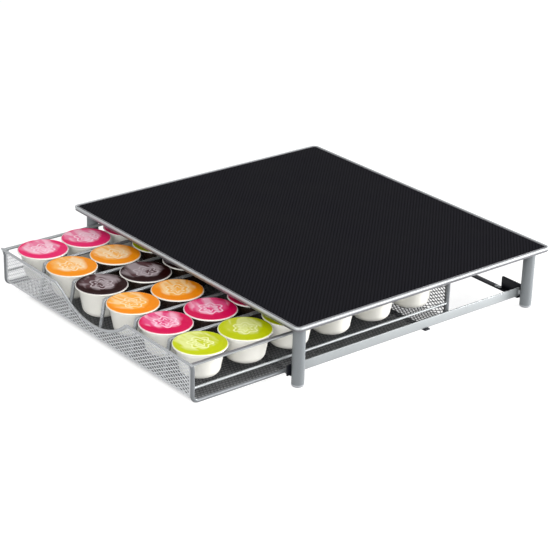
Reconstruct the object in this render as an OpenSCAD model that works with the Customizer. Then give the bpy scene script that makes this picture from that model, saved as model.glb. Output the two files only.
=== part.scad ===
// Coffee pod drawer: a low wire basket that slides on two rails under a flat stand.
// The drawer's front faces -Y. The origin is on the surface it stands on, under the
// middle of the whole part with the drawer standing open as at rest.

/* [Stand] */
// Width of the stand over its rim
stand_w = 385; // [383:1:400]
// Depth of the stand over its rim
stand_d = 344; // [338:1:360]
// Height of the rim's top above the surface
stand_h = 70; // [68:1:90]
// Outer corner radius of the rim
corner_r = 7; // [6:0.5:12]
// Width of the rim's rounded bead
bead_w = 4.5; // [4:0.5:6]
// Height of the rim's rounded bead
bead_h = 2.9; // [2.5:0.1:4]
// Height of the flange under the bead
flange_h = 1.7; // [1.2:0.1:2.5]
// Thickness of the sheet metal panel
panel_t = 1.2; // [0.8:0.1:1.5]
// Thickness of the anti-slip mat
mat_t = 1.7; // [1:0.1:1.7]

/* [Legs and rails] */
// Diameter of the tube legs
leg_d = 12.7; // [12:0.1:13]
// Wall of the tube legs
leg_wall = 1; // [0.8:0.1:1.5]
// Distance from the rim's outer edge to a leg's axis
leg_inset = 15.7; // [14:0.1:16.5]
// Height of the visible part of a foot cap
cap_h = 3; // [2.5:0.5:6]
// Height of a rail's upright flange
rail_h = 10.7; // [9:0.1:14]
// Width of a rail's flat flange
rail_w = 14; // [10:1:18]
// Thickness of the rails, brackets and cross strips
steel_t = 1.5; // [1.5:0.1:1.6]
// Width of the cross strips
strip_w = 7; // [6:0.5:8]
// Width of a back stop plate
stop_w = 29.5; // [20:0.5:40]
// Height of a back stop plate
stop_h = 12.6; // [10:0.1:20]
// Height of a guard plate at a rail's front end
guard_h = 11.6; // [9:0.1:16]

/* [Drawer] */
// How far the drawer's front stands out before the rim at rest
drawer_out = 105; // [60:1:150]
// Width of the drawer over its side rods
drawer_w = 334; // [330:1:334]
// Depth of the drawer at its top
drawer_d = 330; // [329:1:334]
// Underside of the drawer above the surface
drawer_z = 11.5; // [11.5:0.1:12]
// Top of the front rim above the surface
front_z = 54; // [53.5:0.1:56]
// How far the top of the front flares out
flare_out = 2; // [1:0.5:3]
// Height of the flare
flare_h = 8; // [7:0.5:12]
// Diameter of the side frame rods
rod_d = 4; // [3:0.5:4]
// Centreline radius of the rods' bottom bends
bend_r = 6; // [5:0.5:8]
// Diameter of the middle side wires
wire_d = 2.5; // [2:0.5:3]
// Height of the middle side wires above the surface
wire_z = 27.5; // [24:0.1:36]
// Height of the front and back rim bars
bar_h = 3; // [3:0.5:4]
// Thickness of the rim bars, side strips and dividers
bar_t = 2; // [1.5:0.1:2]
// Depth of the finger dip in the front
dip_depth = 24; // [15:1:28]
// Radius of the finger dip
dip_r = 90; // [70:1:110]
// Radius of the dip's upper corners
dip_corner_r = 9; // [6:1:14]
// Thickness of the mesh sheets
mesh_t = 0.8; // [0.5:0.1:1]

/* [Pods] */
// Pitch of the pods in a column
pod_pitch_y = 53.5; // [53.5:0.1:53.6]
// Diameter of a pod's flange
pod_d = 53.4; // [50:0.1:53.4]
// Diameter of a pod's cup under the flange
cup_d = 48; // [44:0.5:49]
// Height of a pod's cup below its flange
cup_h = 28; // [24:0.5:32]
// Thickness of a pod's flange
pod_flange_t = 2; // [1:0.1:2.5]
// Thickness of a pod's foil lid
foil_t = 0.35; // [0.3:0.05:0.6]

/* [Hidden] */
$fn = 48;
columns = 6;
// Full rows in each column, counted from the front
pod_rows = [3, 3, 3, 2, 3, 6];
lid_colors = ["hotpink", "orange", [0.16, 0.07, 0.06], "darkorange", "deeppink", "yellowgreen"];
silver = [0.66, 0.67, 0.69];
dark_steel = [0.09, 0.09, 0.1];

// Stand
total_l = stand_d + drawer_out;
y_front = -total_l / 2;
stand_y0 = y_front + drawer_out;
stand_y1 = total_l / 2;
stand_cy = (stand_y0 + stand_y1) / 2;
bead_z = stand_h - bead_h / 2;
bead_edge = 1.2;
flange_top = stand_h - bead_h;
flange_set = 0.6;
flange_w = 6;
panel_gap = 0.1;
leg_x = stand_w / 2 - leg_inset;
leg_y0 = stand_y0 + leg_inset;
leg_y1 = stand_y1 - leg_inset;
leg_in_x = leg_x - leg_d / 2;
plug_h = 9;
plug_gap = 0.1;

// Rails and what joins them to the legs
rail_gap = 0.2;
rail_z0 = drawer_z - rail_gap - steel_t;
stop_y = leg_y1 - steel_t / 2;
rail_y0 = stand_y0 + 14;
rail_y1 = stop_y - 3;
strip_z0 = rail_z0 - steel_t;
middle_strip_y = stand_y0 + 190;
middle_strip_w = 345;
back_strip_y = stop_y + steel_t - strip_w / 2;
guard_y0 = stand_y0 + 7.5;

// Drawer
front_y = y_front + flare_out;
flare_a = atan2(flare_out, flare_h);
kink_z = front_z - flare_h;
back_y = y_front + drawer_d;
post_x = drawer_w / 2 - rod_d / 2;
front_post_y = front_y + rod_d / 2;
back_post_y = back_y - rod_d / 2;
post_top_z = front_z - bar_h;
rod_z = drawer_z + rod_d / 2;
bend_z = rod_z + bend_r;
front_bend_y = front_post_y + bend_r;
back_bend_y = back_post_y - bend_r;
strip_z = front_z - 1;
mesh_w = drawer_w - 2 * rod_d;
mesh_set = 1.2;
floor_z = drawer_z + mesh_set + mesh_t;

// Dividers
divider_w = 4;
lane_pitch = (drawer_w - divider_w) / columns;
divider_lean = 7;

// Pods
first_pod_y = y_front + 33;
cup_low_d = 40;
cup_fillet = 7.5;
foil_set = 0.6;

// ---- shared forms ----

// A box between two corners
module block(low, high) {
    translate(low) cube(high - low);
}

// A straight round rod from one point to another
module rod(from, to, d) {
    v = to - from;
    l = norm(v);
    translate(from) rotate([0, acos(v[2] / l), atan2(v[1], v[0])]) cylinder(d = d, h = l);
}

// Draws a shape made in the plane of Y and Z, with X as its height
module side_plane() {
    rotate([90, 0, 90]) children();
}

// A rod's bend in the plane of Y and Z, about the point [y, z]
module bend(y, z, r, from_a, turn, d) {
    side_plane() translate([y, z, 0]) rotate(from_a)
        rotate_extrude(angle = turn) translate([r, 0]) circle(d = d);
}

// A rectangle with rounded corners, about the origin
module round_rect(w, h, r) {
    square([w - 2 * r, h], center = true);
    square([w, h - 2 * r], center = true);
    for (x = [-1, 1], y = [-1, 1])
        translate([x * (w / 2 - r), y * (h / 2 - r)]) circle(r = r);
}

// Sweeps a section round a rectangle with rounded corners. w, d and r are the path's.
module ring(w, d, r, z) {
    for (k = [0:3]) rotate(90 * k) {
        out = (k % 2 == 0 ? w : d) / 2;
        half = (k % 2 == 0 ? d : w) / 2 - r;
        translate([out, half, z]) rotate([90, 0, 0]) linear_extrude(2 * half) children();
        translate([out - r, half, z]) rotate_extrude(angle = 90) translate([r, 0]) children();
    }
}

// ---- stand ----

module top_rim() {
    color(silver) translate([0, stand_cy, 0])
        ring(stand_w - bead_w, stand_d - bead_w, corner_r - bead_w / 2, bead_z)
            round_rect(bead_w, bead_h, bead_edge);
}

module rim_flange() {
    inner = 2 * (flange_set + flange_w);
    color(silver) translate([0, stand_cy, flange_top - flange_h]) linear_extrude(flange_h)
        difference() {
            round_rect(stand_w - 2 * flange_set, stand_d - 2 * flange_set, corner_r - flange_set);
            square([stand_w - inner, stand_d - inner], center = true);
        }
}

module top_sheet(z, t) {
    set = bead_w + panel_gap;
    translate([0, stand_cy, z]) linear_extrude(t)
        round_rect(stand_w - 2 * set, stand_d - 2 * set, corner_r - bead_w);
}

module top_panel() {
    color(silver) top_sheet(flange_top, panel_t);
}

module top_mat() {
    color([0.11, 0.11, 0.12]) top_sheet(flange_top + panel_t, mat_t);
}

module leg(x, y) {
    color(silver) translate([x, y, cap_h]) difference() {
        cylinder(d = leg_d, h = flange_top - cap_h);
        translate([0, 0, -1]) cylinder(d = leg_d - 2 * leg_wall, h = flange_top - cap_h + 2);
    }
}

module leg_front_left() { leg(-leg_x, leg_y0); }
module leg_front_right() { leg(leg_x, leg_y0); }
module leg_back_left() { leg(-leg_x, leg_y1); }
module leg_back_right() { leg(leg_x, leg_y1); }

// The caps' lower edges are rounded, and their plugs go up into the tubes
module foot_caps() {
    edge = 2;
    r = leg_d / 2;
    color([0.6, 0.61, 0.63])
        for (x = [-leg_x, leg_x], y = [leg_y0, leg_y1]) translate([x, y, 0]) rotate_extrude() {
            square([r - edge, cap_h]);
            translate([0, edge]) square([r, cap_h - edge]);
            intersection() {
                translate([r - edge, edge]) circle(r = edge);
                square([r, cap_h]);
            }
            translate([0, cap_h]) square([r - leg_wall - plug_gap, plug_h - cap_h]);
        }
}

module rail(side) {
    x_out = leg_in_x;
    color(silver) mirror([side < 0 ? 1 : 0, 0, 0]) {
        block([x_out - steel_t, rail_y0, rail_z0], [x_out, rail_y1, rail_z0 + rail_h]);
        block([x_out - rail_w, rail_y0, rail_z0], [x_out, rail_y1, rail_z0 + steel_t]);
    }
}

module rail_left() { rail(-1); }
module rail_right() { rail(1); }

module cross_strip(y, w) {
    color(dark_steel)
        block([-w / 2, y - strip_w / 2, strip_z0], [w / 2, y + strip_w / 2, rail_z0]);
}

module cross_strip_front() { cross_strip(leg_y0, 2 * leg_in_x); }
module cross_strip_middle() { cross_strip(middle_strip_y, middle_strip_w); }
module cross_strip_back() { cross_strip(back_strip_y, 2 * leg_in_x); }

// A guard plate in line with the rail, standing on the front cross strip
module front_bracket(side) {
    color(dark_steel) mirror([side < 0 ? 1 : 0, 0, 0])
        block([leg_in_x - steel_t, guard_y0, rail_z0], [leg_in_x, rail_y0, rail_z0 + guard_h]);
}

module front_bracket_left() { front_bracket(-1); }
module front_bracket_right() { front_bracket(1); }

// The upright plate that stops the drawer, on the back cross strip and against the leg
module back_bracket(side) {
    color(dark_steel) mirror([side < 0 ? 1 : 0, 0, 0])
        block([leg_in_x - stop_w, stop_y, rail_z0],
              [leg_in_x, stop_y + steel_t, rail_z0 + stop_h]);
}

module back_bracket_left() { back_bracket(-1); }
module back_bracket_right() { back_bracket(1); }

// ---- drawer ----

// Height of the front's bend line on the face that lies set behind the outer one
function kink_height(set) = kink_z + set * tan(flare_a / 2);

// Y of that face at height z
function front_face_y(set, z) = front_y + set - max(0, z - kink_height(set)) * tan(flare_a);

// Side view of that face
function front_face(set) =
    [for (z = [drawer_z, kink_height(set), front_z]) [front_face_y(set, z), z]];

// Points of the front's top line in its front view, set down by off, over a width of w
function front_line(off, w) =
    let (
        top = front_z - off,
        r = dip_r + off,
        f = dip_corner_r - off,
        centre_z = front_z - dip_depth + dip_r,
        fillet_z = top - f,
        fillet_x = sqrt((r + f) * (r + f) - (centre_z - fillet_z) * (centre_z - fillet_z)),
        a = atan2(fillet_x, centre_z - fillet_z),
        half = concat(
            [for (i = [0:12]) [r * sin(a * i / 12), centre_z - r * cos(a * i / 12)]],
            [for (i = [1:6]) [fillet_x - f * sin(a * (1 - i / 6)), fillet_z + f * cos(a * (1 - i / 6))]],
            [[w / 2, top]]
        )
    )
    concat([for (i = [len(half) - 1:-1:1]) [-half[i][0], half[i][1]]], half);

function reversed(list) = [for (i = [len(list) - 1:-1:0]) list[i]];

// A sheet of thickness t that follows the front's bend, cut to the outline given as its child
module bent_front(set, t) {
    reach = 10;
    intersection() {
        side_plane() translate([0, 0, -drawer_w / 2]) linear_extrude(drawer_w)
            polygon(concat(front_face(set), reversed(front_face(set + t))));
        translate([0, front_y + reach, 0]) rotate([90, 0, 0]) linear_extrude(2 * reach) children();
    }
}

module front_rim() {
    color(silver) bent_front(0, bar_t)
        polygon(concat(front_line(0, drawer_w), reversed(front_line(bar_h, drawer_w))));
}

module back_rim() {
    color(silver)
        block([-drawer_w / 2, back_y - bar_t, post_top_z], [drawer_w / 2, back_y, front_z]);
}

// The strip's front end is cut to lie against the front rim
module side_strip(side) {
    low = strip_z - bar_t;
    color(silver) side_plane() translate([0, 0, side * post_x - divider_w / 2])
        linear_extrude(divider_w)
            polygon([[front_face_y(bar_t, low), low], [back_y - bar_t, low],
                     [back_y - bar_t, strip_z], [front_face_y(bar_t, strip_z), strip_z]]);
}

module side_strip_left() { side_strip(-1); }
module side_strip_right() { side_strip(1); }

// One bent rod: front post with its flared top, lower run and back post. A ball just fuller
// than the rod closes the outside of the post's bend.
module side_frame(side) {
    kink = [0, front_post_y, kink_height(rod_d / 2)];
    color(silver) translate([side * post_x, 0, 0]) difference() {
        union() {
            rod(kink, [0, front_face_y(rod_d / 2, front_z), front_z], rod_d);
            translate(kink) sphere(d = rod_d + 0.2);
            rod([0, front_post_y, bend_z], kink, rod_d);
            bend(front_bend_y, bend_z, bend_r, 180, 90, rod_d);
            rod([0, front_bend_y, rod_z], [0, back_bend_y, rod_z], rod_d);
            bend(back_bend_y, bend_z, bend_r, 270, 90, rod_d);
            rod([0, back_post_y, bend_z], [0, back_post_y, post_top_z], rod_d);
        }
        block([-rod_d, y_front - rod_d, post_top_z], [rod_d, front_bend_y, 2 * front_z]);
    }
}

module side_frame_left() { side_frame(-1); }
module side_frame_right() { side_frame(1); }

module mid_wire(side) {
    color(silver)
        rod([side * post_x, front_y + rod_d, wire_z], [side * post_x, back_y - rod_d, wire_z], wire_d);
}

module mid_wire_left() { mid_wire(-1); }
module mid_wire_right() { mid_wire(1); }

module front_mesh() {
    half = mesh_w / 2;
    color([0.6, 0.61, 0.63]) bent_front(mesh_set, mesh_t)
        polygon(concat(front_line(bar_h, mesh_w), [[half, bend_z], [-half, bend_z]]));
}

// The floor turns up with the rods' bends at the front and the back
module floor_mesh() {
    r_out = bend_r + rod_d / 2 - mesh_set;
    r_in = r_out - mesh_t;
    steps = 8;
    front_a = [for (i = [0:steps]) 180 + 90 * i / steps];
    back_a = [for (i = [0:steps]) 270 + 90 * i / steps];
    outer = concat([for (a = front_a) [front_bend_y + r_out * cos(a), bend_z + r_out * sin(a)]],
                   [for (a = back_a) [back_bend_y + r_out * cos(a), bend_z + r_out * sin(a)]]);
    inner = concat([for (a = front_a) [front_bend_y + r_in * cos(a), bend_z + r_in * sin(a)]],
                   [for (a = back_a) [back_bend_y + r_in * cos(a), bend_z + r_in * sin(a)]]);
    color([0.45, 0.46, 0.48]) side_plane() translate([0, 0, -mesh_w / 2]) linear_extrude(mesh_w)
        polygon(concat(outer, reversed(inner)));
}

module back_mesh() {
    color([0.6, 0.61, 0.63]) block([-mesh_w / 2, back_y - mesh_set - mesh_t, bend_z],
                                   [mesh_w / 2, back_y - mesh_set, post_top_z]);
}

// A flat bar between two lanes. Its front foot leans, and both feet stand on the floor.
module divider(n) {
    x = (n - columns / 2) * lane_pitch;
    low = strip_z - bar_t;
    top_y = front_bend_y + divider_lean;
    side = [
        [front_bend_y, floor_z], [front_bend_y + bar_t, floor_z], [top_y + bar_t, low],
        [back_bend_y - bar_t, low], [back_bend_y - bar_t, floor_z], [back_bend_y, floor_z],
        [back_bend_y, low], [back_y - bar_t, low], [back_y - bar_t, strip_z], [top_y, strip_z]
    ];
    color(silver) side_plane() translate([0, 0, x - divider_w / 2]) linear_extrude(divider_w)
        polygon(side);
}

module divider_1() { divider(1); }
module divider_2() { divider(2); }
module divider_3() { divider(3); }
module divider_4() { divider(4); }
module divider_5() { divider(5); }

// ---- pods ----

function pod_x(n) = (n - (columns + 1) / 2) * lane_pitch;

// Repeats its children at the middle of each pod of a column, at the strips' height
module each_pod(n) {
    for (row = [0:pod_rows[n - 1] - 1])
        translate([pod_x(n), first_pod_y + row * pod_pitch_y, strip_z]) children();
}

// A tapered cup with a rounded foot, hung by its flange
module pod_cups(n) {
    low_r = cup_low_d / 2;
    foot = [for (i = [0:5]) [low_r - cup_fillet * (1 - sin(18 * i)),
                             -cup_h + cup_fillet * (1 - cos(18 * i))]];
    color([0.93, 0.92, 0.87]) each_pod(n) {
        rotate_extrude() polygon(concat([[0, -cup_h]], foot, [[cup_d / 2, 0], [0, 0]]));
        cylinder(d = pod_d, h = pod_flange_t);
    }
}

module pod_lids(n) {
    color(lid_colors[n - 1]) each_pod(n)
        translate([0, 0, pod_flange_t]) cylinder(d = pod_d - 2 * foil_set, h = foil_t);
}

module pod_cups_1() { pod_cups(1); }
module pod_cups_2() { pod_cups(2); }
module pod_cups_3() { pod_cups(3); }
module pod_cups_4() { pod_cups(4); }
module pod_cups_5() { pod_cups(5); }
module pod_cups_6() { pod_cups(6); }
module pod_lids_1() { pod_lids(1); }
module pod_lids_2() { pod_lids(2); }
module pod_lids_3() { pod_lids(3); }
module pod_lids_4() { pod_lids(4); }
module pod_lids_5() { pod_lids(5); }
module pod_lids_6() { pod_lids(6); }

top_rim();
rim_flange();
top_panel();
top_mat();
leg_front_left();
leg_front_right();
leg_back_left();
leg_back_right();
foot_caps();
rail_left();
rail_right();
cross_strip_front();
cross_strip_middle();
cross_strip_back();
front_bracket_left();
front_bracket_right();
back_bracket_left();
back_bracket_right();
front_rim();
back_rim();
side_strip_left();
side_strip_right();
side_frame_left();
side_frame_right();
mid_wire_left();
mid_wire_right();
front_mesh();
floor_mesh();
back_mesh();
divider_1();
divider_2();
divider_3();
divider_4();
divider_5();
pod_cups_1();
pod_cups_2();
pod_cups_3();
pod_cups_4();
pod_cups_5();
pod_cups_6();
pod_lids_1();
pod_lids_2();
pod_lids_3();
pod_lids_4();
pod_lids_5();
pod_lids_6();
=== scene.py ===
import math
import random

import bmesh
import bpy
from mathutils import Matrix, Vector, noise


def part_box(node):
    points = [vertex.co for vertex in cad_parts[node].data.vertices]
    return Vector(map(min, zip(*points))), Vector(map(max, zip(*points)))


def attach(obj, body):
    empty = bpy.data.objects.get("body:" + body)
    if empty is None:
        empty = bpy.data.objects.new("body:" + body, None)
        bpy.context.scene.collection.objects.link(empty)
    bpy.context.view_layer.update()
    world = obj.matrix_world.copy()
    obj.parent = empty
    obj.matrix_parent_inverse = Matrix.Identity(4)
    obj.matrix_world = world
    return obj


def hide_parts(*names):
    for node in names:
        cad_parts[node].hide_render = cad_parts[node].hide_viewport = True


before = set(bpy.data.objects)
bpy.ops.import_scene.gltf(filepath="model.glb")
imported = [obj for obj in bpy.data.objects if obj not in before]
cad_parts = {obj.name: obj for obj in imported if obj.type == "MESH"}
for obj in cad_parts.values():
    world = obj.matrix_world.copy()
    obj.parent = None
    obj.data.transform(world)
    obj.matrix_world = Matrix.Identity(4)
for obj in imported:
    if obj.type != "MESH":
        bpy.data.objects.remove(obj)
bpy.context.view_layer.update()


# ---- Camera, floor and light ----
# The camera looks down on the stand's front right corner. The floor and the world are white to it and in
# reflections, but for the floor right under the drawer: there the glow stops in the drawer's shape, a
# painted shade, and only the floor's real light and shadow show. Four soft boxes give the light.

def put(tree, kind, sockets=None, **settings):
    """Adds a shader node. A socket's value is a number, a colour or another node's output."""
    node = tree.nodes.new("ShaderNode" + kind)
    for key, value in settings.items():
        setattr(node, key, value)
    for key, value in (sockets or {}).items():
        if isinstance(value, bpy.types.NodeSocket):
            tree.links.new(value, node.inputs[key])
        else:
            node.inputs[key].default_value = value
    return node


def calc(tree, operation, *values):
    """One Math node on numbers or outputs."""
    return put(tree, "Math", dict(enumerate(values)), operation=operation).outputs[0]


def remap(tree, value, low, high, to_low, to_high):
    """One Map Range node. It also clamps."""
    return put(tree, "MapRange", {0: value, 1: low, 2: high, 3: to_low, 4: to_high}).outputs[0]


def add_camera():
    eye = Vector((1.3332, -1.0866, 0.7839))
    azimuth = math.radians(-50.57)
    elevation = math.radians(23.78)
    roll = math.radians(1.626)
    focal_px = 1777.4
    image_px = 550
    sensor_mm = 36
    look = Vector((math.sin(azimuth) * math.cos(elevation),
                   math.cos(azimuth) * math.cos(elevation), -math.sin(elevation)))
    right = look.cross(Vector((0, 0, 1))).normalized()
    up = right.cross(look)
    camera_x = right * math.cos(roll) + up * math.sin(roll)
    camera_y = up * math.cos(roll) - right * math.sin(roll)
    data = bpy.data.cameras.new("camera")
    data.sensor_width = sensor_mm
    data.lens = sensor_mm * focal_px / image_px
    camera = bpy.data.objects.new("camera", data)
    turned = Matrix((camera_x, camera_y, -look)).transposed().to_4x4()
    camera.matrix_world = Matrix.Translation(eye) @ turned
    bpy.context.scene.collection.objects.link(camera)
    bpy.context.scene.camera = camera


def seen_white(tree):
    """1 for rays that see the background itself, in the camera, in gloss or through glass."""
    rays = put(tree, "LightPath").outputs
    seen = calc(tree, "ADD", rays["Is Camera Ray"], rays["Is Glossy Ray"])
    return calc(tree, "MINIMUM", calc(tree, "ADD", seen, rays["Is Transmission Ray"]), 1.0)


def add_world():
    ambient = 0.14
    world = bpy.data.worlds.new("studio")
    world.use_nodes = True
    tree = world.node_tree
    backdrop = tree.nodes["Background"]
    backdrop.inputs["Color"].default_value = (1, 1, 1, 1)
    lift = calc(tree, "MULTIPLY", seen_white(tree), 1 - ambient)
    tree.links.new(calc(tree, "ADD", lift, ambient), backdrop.inputs["Strength"])
    bpy.context.scene.world = world


def clear_of_drawer(tree):
    """0 on the floor deep under the drawer, wherever it slides, and 1 outside it. Where it is 0 the
    floor's glow stops, a painted shade under the drawer.
    """
    low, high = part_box("floor_mesh")
    middle = (low + high) / 2
    half = (high - low) / 2
    edge_in = 0.014
    fade = 0.012
    from_drawer = put(tree, "TexCoord", object=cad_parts["floor_mesh"]).outputs["Object"]
    spot = put(tree, "SeparateXYZ", {0: from_drawer}).outputs
    past = []
    for k in (0, 1):
        away = calc(tree, "ABSOLUTE", calc(tree, "SUBTRACT", spot[k], middle[k]))
        past.append(calc(tree, "SUBTRACT", away, half[k] - edge_in))
    return remap(tree, calc(tree, "MAXIMUM", *past), -fade, 0.0, 0.0, 1.0)


def add_floor():
    reach = 5.0
    glow = 0.85
    paper_grey = 0.34
    mesh = bpy.data.meshes.new("floor")
    corners = [(-reach, -reach, 0), (reach, -reach, 0), (reach, reach, 0), (-reach, reach, 0)]
    mesh.from_pydata(corners, [], [(0, 1, 2, 3)])
    floor = bpy.data.objects.new("floor", mesh)
    bpy.context.scene.collection.objects.link(floor)
    material = bpy.data.materials.new("pale_floor")
    material.use_nodes = True
    tree = material.node_tree
    paper = tree.nodes["Principled BSDF"]
    paper.inputs["Base Color"].default_value = (paper_grey, paper_grey, paper_grey, 1)
    paper.inputs["Roughness"].default_value = 1.0
    paper.inputs["Specular IOR Level"].default_value = 0.0
    paper.inputs["Emission Color"].default_value = (1, 1, 1, 1)
    # The floor glows white except under the drawer, which is a painted shade there; the paper's real
    # light and shadow stay everywhere.
    shown = calc(tree, "MULTIPLY", seen_white(tree), clear_of_drawer(tree))
    tree.links.new(calc(tree, "MULTIPLY", shown, glow), paper.inputs["Emission Strength"])
    mesh.materials.append(material)


def soft_box(name, place, aim, width, height, power):
    """A rectangular lamp turned towards its aim. Lengths are in metres and power in watts."""
    lamp = bpy.data.lights.new(name, "AREA")
    lamp.shape = "RECTANGLE"
    lamp.size = width
    lamp.size_y = height
    lamp.energy = power
    holder = bpy.data.objects.new(name, lamp)
    holder.location = place
    holder.rotation_euler = (Vector(aim) - Vector(place)).to_track_quat("-Z", "Y").to_euler()
    holder.visible_camera = False
    bpy.context.scene.collection.objects.link(holder)


add_camera()
add_world()
add_floor()
soft_box("lamp_above", (0.1, -0.2, 1.6), (0, 0, 0.05), 1.5, 1.5, 11)
soft_box("lamp_right", (1.5, 0.9, 0.5), (0, 0, 0.03), 1.0, 0.7, 22)
soft_box("lamp_side", (0.9, 1.6, 0.35), (0, 0, 0.03), 0.6, 0.4, 45)
soft_box("lamp_front", (0.9, -1.3, 0.75), (0, -0.1, 0.03), 1.6, 1.1, 25)
bpy.context.scene.view_settings.view_transform = "Standard"


# ---- Rim of the stand ----
# Sheet steel rolled into a bead along the outer edge, with a flat band inside it, a groove between the
# two and a flange below for the panel. It is bent at the corners and spray painted. The bead takes a
# lighter copy of the paint, a painted highlight, the band and flange a darker copy, a painted shade, and
# a black strip in the groove is a painted shadow.

MM = 0.001
BODY_STAND = "stand"


def span(node):
    """A node's lowest and highest corners in millimetres."""
    low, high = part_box(node)
    return low / MM, high / MM


def shape(name, points, faces, sharp=35):
    """A mesh object from points in millimetres, smooth but for edges that turn more than sharp."""
    mesh = bpy.data.meshes.new(name)
    mesh.from_pydata([Vector(point) * MM for point in points], [], faces)
    body = bmesh.new()
    body.from_mesh(mesh)
    bmesh.ops.recalc_face_normals(body, faces=body.faces)
    body.to_mesh(mesh)
    body.free()
    mesh.shade_smooth()
    mesh.set_sharp_from_angle(angle=math.radians(sharp))
    piece = bpy.data.objects.new(name, mesh)
    bpy.context.scene.collection.objects.link(piece)
    return piece


def loft(name, rings, joined=False, sharp=35):
    """Skins closed rings of points one after another. The last meets the first, or both are capped."""
    count = len(rings[0])
    faces = []
    for k in range(len(rings) if joined else len(rings) - 1):
        a = k * count
        b = (k + 1) % len(rings) * count
        faces += [(a + i, a + (i + 1) % count, b + (i + 1) % count, b + i) for i in range(count)]
    if not joined:
        faces.append(tuple(range(count)))
        faces.append(tuple(range((len(rings) - 1) * count, len(rings) * count)))
    return shape(name, [point for ring in rings for point in ring], faces, sharp)


def arc(u, v, r, start, end, steps):
    """Points on an arc about (u, v), from one angle in degrees to another."""
    turns = [math.radians(start + (end - start) * i / steps) for i in range(steps + 1)]
    return [(u + r * math.cos(a), v + r * math.sin(a)) for a in turns]


def oblong(u0, v0, u1, v1):
    """The corners of a rectangle."""
    return [(u0, v0), (u1, v0), (u1, v1), (u0, v1)]


def make_group(name, inputs, outputs):
    """An empty node group with named sockets. Returns it with its two end nodes."""
    group = bpy.data.node_groups.new(name, "ShaderNodeTree")
    for socket, kind in inputs.items():
        group.interface.new_socket(socket, in_out="INPUT", socket_type="NodeSocket" + kind)
    for socket, kind in outputs.items():
        group.interface.new_socket(socket, in_out="OUTPUT", socket_type="NodeSocket" + kind)
    return group, group.nodes.new("NodeGroupInput").outputs, group.nodes.new("NodeGroupOutput").inputs


def tint(tree, factor, a, b, how="MIX"):
    """One colour Mix node."""
    return put(tree, "Mix", {0: factor, 6: a, 7: b}, data_type="RGBA", blend_type=how).outputs[2]


def place_mm(tree):
    """A surface point in millimetres, in its own piece's frame."""
    here = put(tree, "TexCoord").outputs["Object"]
    return put(tree, "VectorMath", {0: here, 3: 1 / MM}, operation="SCALE").outputs[0]


def noise_mm(tree, place, size, detail=2.0):
    """Noise whose lumps are about size millimetres wide."""
    return put(tree, "TexNoise", {"Vector": place, "Scale": 1 / size, "Detail": detail}).outputs[0]


def make_spray_coat():
    """Sprayed metallic paint: cloudy tone, flakes, orange peel, handling marks, thin edges."""
    cloud_mm = 45
    flake_mm = 0.35
    peel_mm = 1.1
    mark_mm = 9
    patch_mm = 5
    worn_edge_mm = 0.7
    group, given, out = make_group(
        "spray_coat",
        {"Paint": "Color", "Edge": "Color", "Flake": "Float", "Gloss": "Float"},
        {"Color": "Color", "Roughness": "Float", "Height": "Float"})
    place = place_mm(group)
    cloud = noise_mm(group, place, cloud_mm, 3.0)
    flake = put(group, "TexVoronoi", {"Vector": place, "Scale": 1 / flake_mm}).outputs["Color"]
    peel = noise_mm(group, place, peel_mm)
    marks = remap(group, noise_mm(group, place, mark_mm, 6.0), 0.56, 0.7, 0.0, 1.0)
    rounded_normal = put(group, "Bevel", {"Radius": worn_edge_mm * MM}, samples=4).outputs[0]
    normal = put(group, "NewGeometry").outputs["Normal"]
    turn = put(group, "VectorMath", {0: rounded_normal, 1: normal}, operation="DOT_PRODUCT")
    edge = remap(group, turn.outputs["Value"], 0.97, 0.8, 0.0, 1.0)
    patches = remap(group, noise_mm(group, place, patch_mm, 4.0), 0.4, 0.65, 0.1, 0.6)
    worn = calc(group, "MULTIPLY", edge, patches)
    sparkle = calc(group, "MULTIPLY_ADD", calc(group, "SUBTRACT", flake, 0.5), given["Flake"], 1.0)
    tone = calc(group, "MULTIPLY", sparkle, remap(group, cloud, 0.3, 0.7, 0.95, 1.05))
    coat = tint(group, 1.0, given["Paint"], tone, "MULTIPLY")
    group.links.new(tint(group, worn, coat, given["Edge"]), out["Color"])
    dull = calc(group, "MULTIPLY_ADD", marks, 0.08, given["Gloss"])
    group.links.new(calc(group, "MULTIPLY_ADD", cloud, 0.1, dull), out["Roughness"])
    group.links.new(calc(group, "MULTIPLY_ADD", flake, 0.1, peel), out["Height"])
    return group


spray_coat = make_spray_coat()


def new_material(name, metallic=0.0, coat=0.0):
    """A material with a Principled shader. Returns it with its tree and the shader's sockets."""
    material = bpy.data.materials.new(name)
    material.use_nodes = True
    shader = material.node_tree.nodes["Principled BSDF"]
    shader.inputs["Metallic"].default_value = metallic
    shader.inputs["Coat Weight"].default_value = coat
    return material, material.node_tree, shader.inputs


def relief(tree, shader, height, depth_mm):
    """Feeds a height through a Bump node into the shader's normal."""
    bump = put(tree, "Bump", {"Height": height, "Distance": depth_mm * MM})
    tree.links.new(bump.outputs[0], shader["Normal"])


def paint(name, colour, edge, gloss, metallic, flake, lustre=0.5):
    """A painted steel, from the shared spray coat. edge is its colour where it has worn thin."""
    peel_depth_mm = 0.02
    material, tree, shader = new_material(name, metallic)
    shader["Specular IOR Level"].default_value = lustre
    coat = put(tree, "Group", node_tree=spray_coat)
    coat.inputs["Paint"].default_value = (*colour, 1)
    coat.inputs["Edge"].default_value = (*edge, 1)
    coat.inputs["Flake"].default_value = flake
    coat.inputs["Gloss"].default_value = gloss
    tree.links.new(coat.outputs["Color"], shader["Base Color"])
    tree.links.new(coat.outputs["Roughness"], shader["Roughness"])
    relief(tree, shader, coat.outputs["Height"], peel_depth_mm)
    return material


def place_piece(piece, material, slot, body, *nodes):
    """Gives a piece its material, hangs it on its body and hides the nodes it stands for. slot is not
    used.
    """
    piece.data.materials.append(material)
    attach(piece, body)
    if nodes:
        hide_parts(*nodes)


# A lighter copy of the silver paint, a painted highlight on the rim's bead; the stand's welds take it
# too.
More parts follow.
